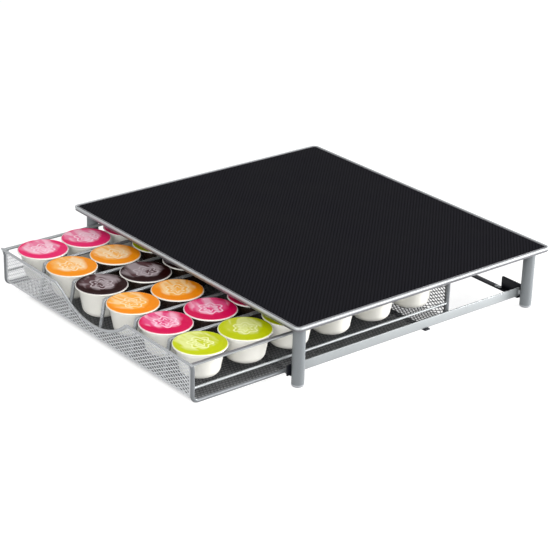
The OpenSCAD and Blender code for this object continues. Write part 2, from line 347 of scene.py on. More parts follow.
highlight_and_weld_steel = paint("highlight_and_weld_steel", (0.42, 0.437, 0.448), (0.7, 0.71, 0.72),
                     gloss=0.26, metallic=0.3, flake=0.06, lustre=0.35)
# A darker copy of the silver paint, a painted shade on the rim's band and flange and on the right strip's
# top.
painted_shade_steel = paint("painted_shade_steel", (0.16, 0.158, 0.17), (0.4, 0.4, 0.42),
                     gloss=0.3, metallic=0.4, flake=0.1)
black = paint("black_paint", (0.006, 0.007, 0.011), (0.06, 0.06, 0.07),
              gloss=0.4, metallic=0.0, flake=0.05, lustre=0.2)

rim_low, rim_high = span("top_rim")
flange_low, flange_high = span("rim_flange")
rim_corner_r = 7
bead_r = (rim_high.z - rim_low.z) / 2
bead_steps = 24
bead_end = 360 - 360 / bead_steps
flange_set = flange_low.x - rim_low.x
flange_in = 6.6
flange_edge = 0.25
groove_z = rim_high.z - 0.5
groove_t = 1
band_z = rim_high.z - 0.3
band_out = 3.3
band_in = 4.5
fold = 0.3
crease = 0.1
tuck = 0.6

bead_profile = arc(bead_r, rim_high.z - bead_r, bead_r, 0, bead_end, bead_steps - 1)
band_profile = [
    (flange_set + flange_edge, flange_low.z),
    (flange_set, flange_low.z + flange_edge),
    (flange_set, rim_low.z + crease),
    (bead_r, rim_low.z + tuck),
    (band_out, groove_z - fold),
    (band_out, band_z - crease),
    (band_out + crease, band_z),
    (band_in - fold, band_z),
    (band_in, band_z - fold),
    (band_in, flange_high.z),
    (flange_in, flange_high.z),
    (flange_in, flange_low.z),
]
# A black strip in the groove between the bead and the band: a painted shadow.
groove_shade_profile = oblong(bead_r, groove_z - groove_t, band_out, groove_z)


def round_path(low, high, r, steps):
    """Corner centre and outward direction at each step round a rectangle with round corners."""
    stations = []
    for k, (sx, sy) in enumerate([(1, 1), (-1, 1), (-1, -1), (1, -1)]):
        centre = Vector((high.x - r if sx > 0 else low.x + r, high.y - r if sy > 0 else low.y + r, 0))
        for i in range(steps + 1):
            a = math.radians(90 * (k + i / steps))
            stations.append((centre, Vector((math.cos(a), math.sin(a), 0))))
    return stations


def round_rim(name, profile, material, slot, *nodes):
    """Carries a profile of (inset, height) round the stand."""
    rings = []
    for centre, outward in round_path(rim_low, rim_high, rim_corner_r, steps=10):
        ring = []
        for inset, z in profile:
            ring.append(centre + outward * (rim_corner_r - inset) + Vector((0, 0, z)))
        rings.append(ring)
    place_piece(loft(name, rings, joined=True, sharp=50), material, slot, BODY_STAND, *nodes)


round_rim("rim_bead", bead_profile, highlight_and_weld_steel, "silver_paint", "top_rim")
round_rim("rim_band", band_profile, painted_shade_steel, "silver_paint", "top_rim", "rim_flange")
round_rim("rim_seam", groove_shade_profile, black, "dark_paint", "top_rim")


# ---- Panel ----
# A plain steel sheet that lies on the rim's flange and carries the mat. It is cut square,
# deburred, spot welded from below and painted with the frame.

def prism(name, outline, low, high, turn, edge=0.3, steps=2):
    """Extrudes an outline from low to high and rounds its edges. turn puts (u, v, height) in space."""
    count = len(outline)
    points = [turn(u, v, height) for height in (low, high) for u, v in outline]
    faces = [tuple(range(count)), tuple(range(count, 2 * count))]
    faces += [(i, (i + 1) % count, count + (i + 1) % count, count + i) for i in range(count)]
    piece = shape(name, points, faces)
    body = bmesh.new()
    body.from_mesh(piece.data)
    turned = [e for e in body.edges if e.calc_face_angle(0) > math.radians(40)]
    bmesh.ops.bevel(body, geom=turned, offset=edge * MM, segments=steps, profile=0.5, affect="EDGES",
                    clamp_overlap=True)
    body.to_mesh(piece.data)
    body.free()
    piece.data.shade_smooth()
    piece.data.set_sharp_from_angle(angle=math.radians(50))
    return piece


def upright(u, v, height):
    return (u, v, height)


silver = paint("silver_paint", (0.2, 0.215, 0.225), (0.4, 0.42, 0.43),
               gloss=0.32, metallic=0.1, flake=0.12, lustre=0.2)
panel_low, panel_high = span("top_panel")
panel_corner_r = 2.5
panel_outline = []
for centre, outward in round_path(panel_low, panel_high, panel_corner_r, steps=4):
    edge_point = centre + outward * panel_corner_r
    panel_outline.append((edge_point.x, edge_point.y))
panel = prism("panel", panel_outline, panel_low.z, panel_high.z, upright, edge=0.2, steps=1)
place_piece(panel, silver, "silver_paint", BODY_STAND, "top_panel")


# ---- Mat ----
# A black rubber sheet laid inside the rim so that a coffee machine doesn't slip. Its top is
# moulded with fine low ribs that run slantwise over the whole sheet.

mat_low, mat_high = span("top_mat")
mat_gap = 0.35
mat_corner_r = 2.2
rib_pitch = 3.2
rib_h = 0.16
mat_top = mat_high.z - 0.2


def ribbed_sheet():
    """Long strips along the ribs, cut to the mat's outline and closed below."""
    rib_shares = [(0.0, 0.0), (0.3, 0.0), (0.42, 1.0), (0.88, 1.0)]  # of the pitch, of the height
    along = Vector((-1, 1, 0)).normalized()
    across = Vector((1, 1, 0)).normalized()
    middle = (mat_low + mat_high) / 2
    half = (mat_high - mat_low).length / 2
    body = bmesh.new()
    ends = []
    for k in range(int(-half / rib_pitch), int(half / rib_pitch) + 1):
        for part, lift in rib_shares:
            start = Vector((middle.x, middle.y, mat_top - rib_h * (1 - lift)))
            start += across * (k + part) * rib_pitch
            ends.append([body.verts.new((start + along * s * half) * MM) for s in (-1, 1)])
    for (a, b), (c, d) in zip(ends, ends[1:]):
        body.faces.new((a, c, d, b))
    inset = Vector((mat_gap, mat_gap, 0))
    for centre, outward in round_path(mat_low + inset, mat_high - inset, mat_corner_r, steps=4):
        edge_point = (centre + outward * mat_corner_r) * MM
        everything = body.verts[:] + body.edges[:] + body.faces[:]
        bmesh.ops.bisect_plane(body, geom=everything, dist=1e-7, plane_co=edge_point, plane_no=outward,
                               clear_outer=True)
    border = [e for e in body.edges if e.is_boundary]
    skirt = bmesh.ops.extrude_edge_only(body, edges=border)["geom"]
    for vertex in skirt:
        if isinstance(vertex, bmesh.types.BMVert):
            vertex.co.z = mat_low.z * MM
    bmesh.ops.holes_fill(body, edges=[e for e in body.edges if e.is_boundary])
    bmesh.ops.recalc_face_normals(body, faces=body.faces)
    mesh = bpy.data.meshes.new("mat")
    body.to_mesh(mesh)
    body.free()
    piece = bpy.data.objects.new("mat", mesh)
    bpy.context.scene.collection.objects.link(piece)
    return piece


def rubber(name, valley, crest):
    """Matt black rubber: crests painted lighter as a painted highlight, fine grain, a little bloom and
    dust in patches.
    """
    bloom_mm = 60
    dust_mm = 0.6
    grain_mm = 0.5
    dust_grey = (0.022, 0.022, 0.026, 1)
    material, tree, shader = new_material(name)
    place = place_mm(tree)
    height = put(tree, "SeparateXYZ", {0: place}).outputs[2]
    # The rib crests are painted lighter than the valleys: a painted highlight.
    crest_highlight = remap(tree, height, mat_top - rib_h, mat_top, 0.0, 1.0)
    bloom = remap(tree, noise_mm(tree, place, bloom_mm, 4.0), 0.35, 0.7, 0.0, 1.0)
    dust = remap(tree, noise_mm(tree, place, dust_mm, 3.0), 0.62, 0.72, 0.0, 0.25)
    ribs = tint(tree, crest_highlight, (*valley, 1), (*crest, 1))
    base = tint(tree, 1.0, ribs, remap(tree, bloom, 0.0, 1.0, 0.9, 1.2), "MULTIPLY")
    tree.links.new(tint(tree, dust, base, dust_grey), shader["Base Color"])
    tree.links.new(remap(tree, bloom, 0.0, 1.0, 0.62, 0.72), shader["Roughness"])
    shader["IOR"].default_value = 1.25
    shader["Specular IOR Level"].default_value = 0.06
    relief(tree, shader, noise_mm(tree, place, grain_mm), 0.03)
    return material


mat_rubber = rubber("mat_rubber", (0.0028, 0.0027, 0.004), (0.0075, 0.0073, 0.0098))
mat = ribbed_sheet()
place_piece(mat, mat_rubber, "mat_rubber", BODY_STAND, "top_mat")


# ---- Legs ----
# Four lengths of round steel tube, welded to the underside of the rim and painted with it.
# The tubes keep the frame's own solids. Small dark weld beads show where they meet the flange.

def bead_points(centre, size, seed, rings, sides):
    """A small uneven weld bead: rings from its lower pole to its upper one."""
    unevenness = 0.35
    lumps = 1.7
    points = []
    for k in range(1, rings):
        tilt = math.pi * k / rings
        for i in range(sides):
            turn = 2 * math.pi * i / sides
            level = math.sin(tilt)
            way = Vector((level * math.cos(turn), level * math.sin(turn), -math.cos(tilt)))
            half = Vector((way.x * size[0], way.y * size[1], way.z * size[2]))
            swell = 1 + unevenness * noise.noise(way * lumps + Vector((seed, 0, 0)))
            points.append(Vector(centre) + half * swell)
    return points


def weld_beads(name, beads):
    """Several beads as one piece. Each is (centre, half sizes) in millimetres."""
    rings = 6
    sides = 10
    points = []
    faces = []
    for seed, (centre, size) in enumerate(beads):
        start = len(points)
        points += bead_points(centre, size, 3.7 * seed, rings, sides)
        for k in range(rings - 2):
            a = start + k * sides
            faces += [(a + i, a + (i + 1) % sides, a + sides + (i + 1) % sides, a + sides + i)
                      for i in range(sides)]
        faces.append(tuple(range(start, start + sides)))
        faces.append(tuple(range(start + (rings - 2) * sides, start + (rings - 1) * sides)))
    return shape(name, points, faces, sharp=80)


leg_names = ["leg_front_left", "leg_front_right", "leg_back_left", "leg_back_right"]
leg_bead = (1.3, 1.3, 0.7)
bead_sink = 0.2
leg_beads = []
for leg in leg_names:
    leg_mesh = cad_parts[leg].data
    leg_mesh.materials.clear()
    leg_mesh.materials.append(silver)
    leg_low, leg_high = span(leg)
    leg_middle = (leg_low + leg_high) / 2
    leg_r = (leg_high.x - leg_low.x) / 2
    for turn in range(-75, 285, 60):
        way = Vector((math.cos(math.radians(turn)), math.sin(math.radians(turn)), 0))
        spot = leg_middle + way * leg_r
        leg_beads.append(((spot.x, spot.y, flange_low.z - bead_sink), leg_bead))
place_piece(weld_beads("leg_welds", leg_beads), black, "dark_paint", BODY_STAND)


# ---- Foot caps ----
# Grey plastic plugs pushed into the tubes, with a visible foot that is as wide as the tube and
# rounded below. They are moulded, and a fine line shows where they meet the steel.

def lathe(name, profile, centre, sides=64, sharp=35):
    """Turns a profile of (radius, height) about an upright axis."""
    rings = []
    for r, z in profile:
        ring = []
        for i in range(sides):
            a = 2 * math.pi * i / sides
            ring.append(Vector(centre) + Vector((r * math.cos(a), r * math.sin(a), z)))
        rings.append(ring)
    return loft(name, rings, sharp=sharp)


def moulded_plastic(name, colour, roughness, tone_spread, coat=0.0):
    """Moulded plastic: faint flow clouds, fine texture and a few scuffs."""
    flow_mm = 14
    scuff_mm = 3
    grain_mm = 0.5
    material, tree, shader = new_material(name, coat=coat)
    place = place_mm(tree)
    clouds = noise_mm(tree, place, flow_mm, 3.0)
    flow = remap(tree, clouds, 0.3, 0.7, 1 - tone_spread, 1 + tone_spread)
    tree.links.new(tint(tree, 1.0, (*colour, 1), flow, "MULTIPLY"), shader["Base Color"])
    scuffs = remap(tree, noise_mm(tree, place, scuff_mm, 6.0), 0.55, 0.7, 0.0, 0.14)
    tree.links.new(calc(tree, "ADD", scuffs, roughness), shader["Roughness"])
    relief(tree, shader, noise_mm(tree, place, grain_mm, 3.0), 0.012)
    return material


cap_plastic = moulded_plastic("cap_plastic", (0.36, 0.37, 0.39), 0.42, 0.04)
plug_top = span("foot_caps")[1].z
plug_r = leg_r - 1.1
plug_tip_r = leg_r - 1.6
plug_taper = 0.8
shoulder_z = leg_low.z - 0.05
shoulder_edge = 0.2
gate_r = 1.5
dimple_r = 3.2
dimple_h = 0.5
foot_edge_r = 2
cap_profile = [
    (gate_r, dimple_h),
    (dimple_r, dimple_h),
    (dimple_r + 0.4, 0.0),
    *arc(leg_r - foot_edge_r, foot_edge_r, foot_edge_r, -80, 0, 6),
    (leg_r, shoulder_z - shoulder_edge),
    (leg_r - shoulder_edge, shoulder_z),
    (plug_r, shoulder_z),
    (plug_r, plug_top - plug_taper),
    (plug_tip_r, plug_top),
    (gate_r, plug_top),
]
for leg in leg_names:
    leg_low, leg_high = span(leg)
    leg_middle = (leg_low + leg_high) / 2
    cap = lathe("cap_" + leg, cap_profile, (leg_middle.x, leg_middle.y, 0))
    place_piece(cap, cap_plastic, "cap_plastic", BODY_STAND, "foot_caps")


# ---- Rails ----
# Two strips of steel bent to an L. The drawer's side rods slide on the flat flange, and the
# upright flange keeps them in line. They are welded to the legs and painted with the frame.

def rounded(corners, steps=4):
    """An outline or a path with round corners. Each corner is (u, v, radius)."""
    points = []
    for i, (u, v, r) in enumerate(corners):
        here = Vector((u, v))
        if r == 0:
            points.append((u, v))
            continue
        before = (Vector(corners[i - 1][:2]) - here).normalized()
        after = (Vector(corners[(i + 1) % len(corners)][:2]) - here).normalized()
        half = before.angle(after) / 2
        centre = here + (before + after).normalized() * r / math.sin(half)
        first = here + before * r / math.tan(half) - centre
        last = here + after * r / math.tan(half) - centre
        start = math.atan2(first.y, first.x)
        turn = (math.atan2(last.y, last.x) - start + math.pi) % (2 * math.pi) - math.pi
        for k in range(steps + 1):
            a = start + turn * k / steps
            points.append((centre.x + r * math.cos(a), centre.y + r * math.sin(a)))
    return points


def along_y(u, v, height):
    return (u, height, v)


# A lighter copy of the silver paint, a painted light on parts that face the lamps: the rails, the left
# strip, the right strip's sides and the middle wires.
painted_light_steel = paint("rail_paint_painted_light", (0.33, 0.35, 0.358), (0.5, 0.51, 0.53),
                   gloss=0.3, metallic=0.25, flake=0.1)
steel_t = 1.5
inner_bend_r = 0.4
outer_bend_r = inner_bend_r + steel_t
for side, node in ((-1, "rail_left"), (1, "rail_right")):
    low, high = span(node)
    outer = max(abs(low.x), abs(high.x))
    inner = min(abs(low.x), abs(high.x))
    corners = [(inner, low.z, 0), (outer, low.z, outer_bend_r), (outer, high.z, 0),
               (outer - steel_t, high.z, 0), (outer - steel_t, low.z + steel_t, inner_bend_r),
               (inner, low.z + steel_t, 0)]
    outline = rounded([(side * u, v, r) for u, v, r in corners])
    rail = prism(node + "_bent", outline, low.y, high.y, along_y)
    place_piece(rail, painted_light_steel, "silver_paint", BODY_STAND, node)


# ---- Cross strips, guards and stop plates ----
# Flat black strips tie the rails together below. A guard stands on the front strip before each
# rail, and a plate on the back strip stops the drawer. All are cut from strip, welded and painted.

def along_x(u, v, height):
    return (height, u, v)


def place_black(piece, node):
    """Places a black piece of the stand."""
    place_piece(piece, black, "dark_paint", BODY_STAND, node)


cross_strips = ["cross_strip_front", "cross_strip_middle", "cross_strip_back"]
for node in cross_strips:
    low, high = span(node)
    outline = oblong(low.y, low.z, high.y, high.z)
    place_black(prism(node + "_flat", outline, low.x, high.x, along_x), node)
guard_corner_r = 2
for node in ("front_bracket_left", "front_bracket_right"):
    low, high = span(node)
    outline = rounded([(low.y, low.z, 0), (high.y, low.z, 0), (high.y, high.z, 0),
                       (low.y, high.z, guard_corner_r)])
    place_black(prism(node + "_plate", outline, low.x, high.x, along_x), node)
stop_corner_r = 1.5
for node in ("back_bracket_left", "back_bracket_right"):
    low, high = span(node)
    outline = rounded([(low.x, low.z, 0), (high.x, low.z, 0), (high.x, high.z, stop_corner_r),
                       (low.x, high.z, stop_corner_r)])
    place_black(prism(node + "_plate", outline, low.y, high.y, along_y), node)

strip_low, strip_high = span("cross_strip_back")
rail_low, rail_high = span("rail_right")
stop_weld_x = 139
stop_weld = (4.6, 3.0, 0.9)
strip_weld_x = rail_high.x - 5
strip_weld = (3, 0.9, 0.9)
strip_weld_up = 0.6
rail_weld = (0.9, 1.2, 3)
rail_weld_up = 5
strip_middle = (strip_low.y + strip_high.y) / 2
frame_beads = []
for side in (-1, 1):
    frame_beads.append(((side * stop_weld_x, strip_middle, strip_high.z), stop_weld))
    for node in cross_strips:
        low, high = span(node)
        for edge in (high.y, low.y):
            frame_beads.append(((side * strip_weld_x, edge, low.z + strip_weld_up), strip_weld))
    for end in (rail_low.y, rail_high.y):
        frame_beads.append(((side * rail_high.x, end, rail_low.z + rail_weld_up), rail_weld))
place_piece(weld_beads("rail_welds", frame_beads), highlight_and_weld_steel, "silver_paint", BODY_STAND)


# ---- Front rim of the drawer ----
# A flat steel bar on edge along the top of the front. It dips in the middle for a finger, and
# its top leans outwards with the front. It is pressed to shape and welded to the corner posts.

BODY_DRAWER = "drawer"

front_low, front_high = span("front_rim")
front_top = front_high.z
front_half = front_high.x
bar_h = 3
bar_t = 2
flare_out = 2
flare_h = 8
flare = math.atan2(flare_out, flare_h)
front_y = front_low.y + flare_out
kink_z = front_top - flare_h
dip_depth = 24
dip_r = 90
dip_corner_r = 9


def front_face_y(depth, z):
    """Y of the front's face at that depth behind the outer one."""
    kink = kink_z + depth * math.tan(flare / 2)
    return front_y + depth - max(0, z - kink) * math.tan(flare)


def front_line(drop):
    """The front's top line in (x, z), lowered by drop, from the left end to the right one."""
    dip_steps = 18
    fillet_steps = 8
    straight_steps = 6
    centre_z = front_top - dip_depth + dip_r
    fillet_z = front_top - dip_corner_r
    fillet_x = math.sqrt((dip_r + dip_corner_r) ** 2 - (centre_z - fillet_z) ** 2)
    sweep = math.degrees(math.atan2(fillet_x, centre_z - fillet_z))
    right = arc(0, centre_z, dip_r + drop, -90, -90 + sweep, dip_steps)
    right += arc(fillet_x, fillet_z, dip_corner_r - drop, 90 + sweep, 90, fillet_steps)[1:]
    fillet_end = right[-1][0]
    for i in range(1, straight_steps + 1):
        right.append((fillet_end + (front_half - fillet_end) * i / straight_steps, front_top - drop))
    return [(-x, z) for x, z in reversed(right[1:])] + right


def place_silver(piece, steel, *nodes):
    """Places a silver piece of the drawer in the steel it is given, which for some pieces is a lighter or
    darker copy painted for light and shade.
    """
    place_piece(piece, steel, "silver_paint", BODY_DRAWER, *nodes)


drawer_steel = paint("drawer_steel", (0.36, 0.375, 0.39), (0.6, 0.61, 0.62),
                     gloss=0.18, metallic=0.6, flake=0.08)
bar_edge_r = 0.55
bar_section = rounded([(u, v, bar_edge_r) for u, v in oblong(0, 0, bar_t, bar_h)], steps=3)
bar_lines = [front_line(drop) for depth, drop in bar_section]
bar_rings = []
for k in range(len(bar_lines[0])):
    ring = []
    for (depth, drop), line in zip(bar_section, bar_lines):
        x, z = line[k]
        ring.append((x, front_face_y(depth, z), z))
    bar_rings.append(ring)
front_bar = loft("front_bar", bar_rings, sharp=50)
place_silver(front_bar, drawer_steel, "front_rim")


# ---- Back rim and side strips ----
# Flat bars along the other three sides of the drawer's top, cut from drawn strip with soft edges
# and welded at the corners. The side strips hold the outer pods' flanges. The right one's top, ends
# and underside are painted darker, a painted shade, and its long sides lighter, a painted light.

drawn_edge = 0.5
low, high = span("back_rim")
back_bar = prism("back_bar", oblong(low.y, low.z, high.y, high.z), low.x, high.x, along_x, drawn_edge)
place_silver(back_bar, drawer_steel, "back_rim")
for node, finish in (("side_strip_left", painted_light_steel), ("side_strip_right", painted_shade_steel)):
    low, high = span(node)
    outline = oblong(low.x, low.z, high.x, high.z)
    bar = prism(node + "_bar", outline, low.y, high.y, along_y, drawn_edge)
    place_silver(bar, finish, node)
    # On the right strip the long side faces take the lighter paint and the rest the darker: painted light
    # and shade by the way each face looks.
    bar.data.materials.append(painted_light_steel)
    for polygon in bar.data.polygons:
        faces_out = abs(polygon.normal.x) > 0.6
        faces_up = polygon.normal.z >= 0.3
        polygon.material_index = int(faces_out and not faces_up)
strip_top = span("side_strip_right")[1].z


# ---- Side frames and middle wires ----
# Each side is one round rod bent into a front post, a lower run that slides on the rail and a
# back post. A thinner wire is welded between the posts so that the pods can't slip out.

def tube(name, path, r):
    """A round rod along a path in a plane of constant X."""
    sides = 20
    rings = []
    for i, point in enumerate(path):
        ahead = Vector(path[min(i + 1, len(path) - 1)]) - Vector(path[max(i - 1, 0)])
        out = ahead.normalized().cross(Vector((1, 0, 0)))
        ring = []
        for k in range(sides):
            a = 2 * math.pi * k / sides
            ring.append(Vector(point) + Vector((1, 0, 0)) * r * math.cos(a) + out * r * math.sin(a))
        rings.append(ring)
    return loft(name, rings, sharp=50)


# A darker copy of the drawer's steel, a painted shade on the side rods under the stand's top.
painted_shade_rod_steel = paint("painted_shade_rod_steel", (0.17, 0.18, 0.19), (0.4, 0.41, 0.42),
                  gloss=0.24, metallic=0.25, flake=0.08, lustre=0.25)
bend_r = 6
post_sink = 0.3
wire_sink = 0.6
for node in ("side_frame_left", "side_frame_right"):
    low, high = span(node)
    post_x = (low.x + high.x) / 2
    rod_r = (high.x - low.x) / 2
    run_z = low.z + rod_r
    front_post_y = front_y + rod_r
    back_post_y = high.y - rod_r
    post_top = high.z + post_sink
    kink = kink_z + rod_r * math.tan(flare / 2)
    path = rounded([(front_face_y(rod_r, post_top), post_top, 0), (front_post_y, kink, bend_r),
                    (front_post_y, run_z, bend_r), (back_post_y, run_z, bend_r),
                    (back_post_y, post_top, 0)], steps=8)
    rod = tube(node + "_rod", [(post_x, y, z) for y, z in path], rod_r)
    place_silver(rod, painted_shade_rod_steel, node)
for node in ("mid_wire_left", "mid_wire_right"):
    low, high = span(node)
    wire_x = (low.x + high.x) / 2
    wire_z = (low.z + high.z) / 2
    path = [(wire_x, y, wire_z) for y in (low.y - wire_sink, 0, high.y + wire_sink)]
    wire = tube(node + "_rod", path, (high.z - low.z) / 2)
    place_silver(wire, painted_light_steel, node)


# ---- Expanded metal ----
# One sheet of steel, slit and stretched into diamonds, forms the front, the floor and the back.
# Plain selvages along both sides are welded to the rods. It is modelled in four lengths. On the
# floor the strands lean the other way. The floor and the back take a darker copy of the same paint,
# a painted shade under the stand's top.

mesh_paint = paint("mesh_paint", (0.54, 0.552, 0.57), (0.8, 0.81, 0.82),
                   gloss=0.34, metallic=0.4, flake=0.1)
# A darker copy of the mesh paint, a painted shade on the floor and the back under the stand's top.
painted_shade_mesh_paint = paint("mesh_paint_painted_shade", (0.08, 0.083, 0.088), (0.3, 0.31, 0.32),
                    gloss=0.4, metallic=0.2, flake=0.1)
sheet_t = 0.4
sheet_depth = 1.6
sheet_low, sheet_high = span("front_mesh")
sheet_half = sheet_high.x
selvage = 2.4
diamond_w = 7.6
diamond_h = 3.8
hole_share = 0.77
upright_lean = -0.15
floor_lean = 0.2
bend_z = sheet_low.z
back_high = span("back_mesh")[1]
front_bend_y = front_post_y + bend_r
back_bend_y = back_post_y - bend_r
sheet_r = bend_r + rod_r - sheet_depth


def sheet_path():
    """The sheet's middle line in (y, z), from the front's top over the floor to the back's top."""
    kink = kink_z + sheet_depth * math.tan(flare / 2)
    bend_steps = 10
    points = [(front_face_y(sheet_depth, front_top), front_top), (front_y + sheet_depth, kink)]
    points += arc(front_bend_y, bend_z, sheet_r, 180, 270, bend_steps)
    points += arc(back_bend_y, bend_z, sheet_r, 270, 360, bend_steps)
    points.append((back_bend_y + sheet_r, back_high.z + bar_h / 2))
    return [Vector(point) for point in points]


sheet_line = sheet_path()
sheet_marks = [0.0]
for a, b in zip(sheet_line, sheet_line[1:]):
    sheet_marks.append(sheet_marks[-1] + (b - a).length)


def on_sheet(x, run, lift):
    """A point of the sheet: x across, run along its middle line, lift out of it."""
    k = 0
    while k < len(sheet_marks) - 2 and run > sheet_marks[k + 1]:
        k += 1
    way = (sheet_line[k + 1] - sheet_line[k]).normalized()
    here = sheet_line[k] + way * (run - sheet_marks[k])
    return Vector((x, here.x + way.y * lift, here.y - way.x * lift))


def top_run(x):
    """Run at which the front bar's middle covers the sheet's edge."""
    line = front_line(bar_h / 2)
    for (x0, z0), (x1, z1) in zip(line, line[1:]):
        if x0 <= x <= x1:
            z = z0 + (z1 - z0) * (x - x0) / (x1 - x0)
            return (front_top - z) / (math.cos(flare) if z > kink_z else 1)
    return bar_h / 2


def expanded_metal(name, first_row, last_row, last_run, strand_tilt):
    """The lattice between two rows of diamonds, as a closed sheet with real openings."""
    open_half = sheet_half - selvage
    columns = int(open_half / (diamond_w / 2)) + 2
    highest = {}
    flat = {}
    points = []
    faces = []

    def corner(i, j, du, dv):
        x = (i * diamond_w + du * diamond_w * hole_share) / 2
        x = max(-open_half, min(open_half, x))
        key = round(x, 3)
        if key not in highest:
            highest[key] = top_run(x)
        run = (j * diamond_h + dv * diamond_h * hole_share) / 2
        run = max(first_row * diamond_h / 2, highest[key], min(last_run, run))
        return vertex(x, run, dv * strand_tilt)

    def vertex(x, run, lift):
        key = (round(x, 3), round(run, 3))
        if key not in flat:
            flat[key] = len(points)
            points.append((x, run, lift))
        return flat[key]

    def face(*corners):
        kept = [c for n, c in enumerate(corners) if c != corners[n - 1]]
        if len(set(kept)) == len(kept) >= 3:
            faces.append(kept)

    for j in range(first_row - 1, last_row + 2):
        for i in range(-columns, columns + 1):
            if (i + j) % 2:
                face(corner(i, j, 1, 0), corner(i + 1, j + 1, 0, -1), corner(i + 1, j + 1, -1, 0),
                     corner(i, j, 0, 1))
                face(corner(i, j, 1, 0), corner(i, j, 0, -1), corner(i + 1, j - 1, -1, 0),
                     corner(i + 1, j - 1, 0, 1))
            else:
                face(corner(i - 1, j, 1, 0), corner(i, j - 1, 0, 1), corner(i + 1, j, -1, 0),
                     corner(i, j + 1, 0, -1))
    for side in (-1, 1):
        rows = sorted((run, index) for (x, run), index in flat.items() if x == side * round(open_half, 3))
        outer = [vertex(side * sheet_half, run, 0) for run, index in rows]
        for n in range(len(rows) - 1):
            quad = (rows[n][1], outer[n], outer[n + 1], rows[n + 1][1])
            faces.append(quad if side > 0 else quad[::-1])
    return solid_sheet(name, points, faces)


def solid_sheet(name, points, faces):
    """Gives a flat pattern its thickness and walls its openings and its border."""
    count = len(points)
    solid = [on_sheet(x, run, lift + side * sheet_t / 2) for side in (-1, 1) for x, run, lift in points]
    edges = {}
    for corners in faces:
        for n, b in enumerate(corners):
            a = corners[n - 1]
            edges[(min(a, b), max(a, b))] = edges.get((min(a, b), max(a, b)), 0) + 1
    walls = [(a, b, b + count, a + count) for (a, b), used in edges.items() if used == 1]
    lower = [tuple(corners) for corners in faces]
    upper = [tuple(c + count for c in corners) for corners in faces]
    return shape(name, solid, lower + upper + walls, sharp=25)


sheet_end = sheet_marks[-1]
row_pitch = diamond_h / 2
bend_run = sheet_r * math.pi / 2
row_front = round((front_top - bend_z + bend_run) / row_pitch)
row_middle = round(sheet_end / 2 / row_pitch)
row_back = round((sheet_end - (back_high.z - bend_z) - bend_run) / row_pitch)
row_last = int(sheet_end / row_pitch) + 1
lengths = (("mesh_front", 0, row_front, upright_lean, mesh_paint, ["front_mesh", "floor_mesh"]),
           ("mesh_floor_front", row_front, row_middle, floor_lean, painted_shade_mesh_paint, ["floor_mesh"]),
           ("mesh_floor_back", row_middle, row_back, floor_lean, painted_shade_mesh_paint, ["floor_mesh"]),
           ("mesh_back", row_back, row_last, upright_lean, painted_shade_mesh_paint, ["back_mesh", "floor_mesh"]))
for name, first, last, tilt, finish, nodes in lengths:
    sheet = expanded_metal(name, first, last, min(last * row_pitch, sheet_end), tilt)
    place_piece(sheet, finish, "mesh_paint", BODY_DRAWER, *nodes)


# ---- Dividers ----
# Flat bars between the six lanes, on which the pods' flanges hang. Each is bent down at the
# front into a leaning foot, and a short foot is welded under it at the back.

dividers = [f"divider_{n}" for n in range(1, 6)]
floor_z = span("floor_mesh")[0].z + 0.8
under_z = strip_top - bar_t
divider_lean = 7
divider_edge = 0.4
knee_outer_r = 3
knee_inner_r = 1.2
knee_shift = 0.4
foot_sink = 0.2
for node in dividers:
    low, high = span(node)
    top_y = front_bend_y + divider_lean
    corners = [(front_bend_y, floor_z, 0), (front_bend_y + bar_t, floor_z, 0),
               (top_y + bar_t + knee_shift, under_z, knee_inner_r), (high.y, under_z, 0),
               (high.y, strip_top, 0), (top_y, strip_top, knee_outer_r)]
    bar = prism(node + "_bar", rounded(corners), low.x, high.x, along_x, divider_edge)
    place_silver(bar, drawer_steel, node)
    outline = oblong(back_bend_y - bar_t, floor_z, back_bend_y, under_z + foot_sink)
    foot = prism(node + "_foot", outline, low.x, high.x, along_x, divider_edge)
    place_silver(foot, drawer_steel, node)

wire_weld = (1.5, 1.3, 1.6)
wire_weld_out = 0.2
post_weld = (1.4, 1.2, 0.8)
post_weld_in = 1.5
end_weld = (1.7, 0.9, 0.6)
foot_weld = (1.8, 1.0, 0.5)
drawer_beads = []
for side in (-1, 1):
    for y, inward in ((front_post_y, 1), (back_post_y, -1)):
        wire_end = (side * post_x, y + inward * (rod_r + wire_weld_out), wire_z)
        post_end = (side * (post_x - post_weld_in), y + inward * rod_r, under_z)
        drawer_beads += [(wire_end, wire_weld), (post_end, post_weld)]
for node in dividers:
    low, high = span(node)
    middle = (low.x + high.x) / 2
    drawer_beads.append(((middle, high.y, under_z), end_weld))
    drawer_beads.append(((middle, front_bend_y, floor_z), foot_weld))
    drawer_beads.append(((middle, back_bend_y, floor_z), foot_weld))
place_silver(weld_beads("drawer_welds", drawer_beads), drawer_steel)


# ---- Pod cups ----
# Capsules of coffee hung in the lanes by their flanges. Each cup is moulded in cream plastic
# with a tapered wall, a rounded foot with a recess, a stacking step and a rolled flange. In the
# inner lanes those behind the first row are near black below the flange, a painted shade between
# the pods.

cup_plastic = moulded_plastic("cup_plastic", (0.82, 0.806, 0.745), 0.3, 0.015, coat=0.15)
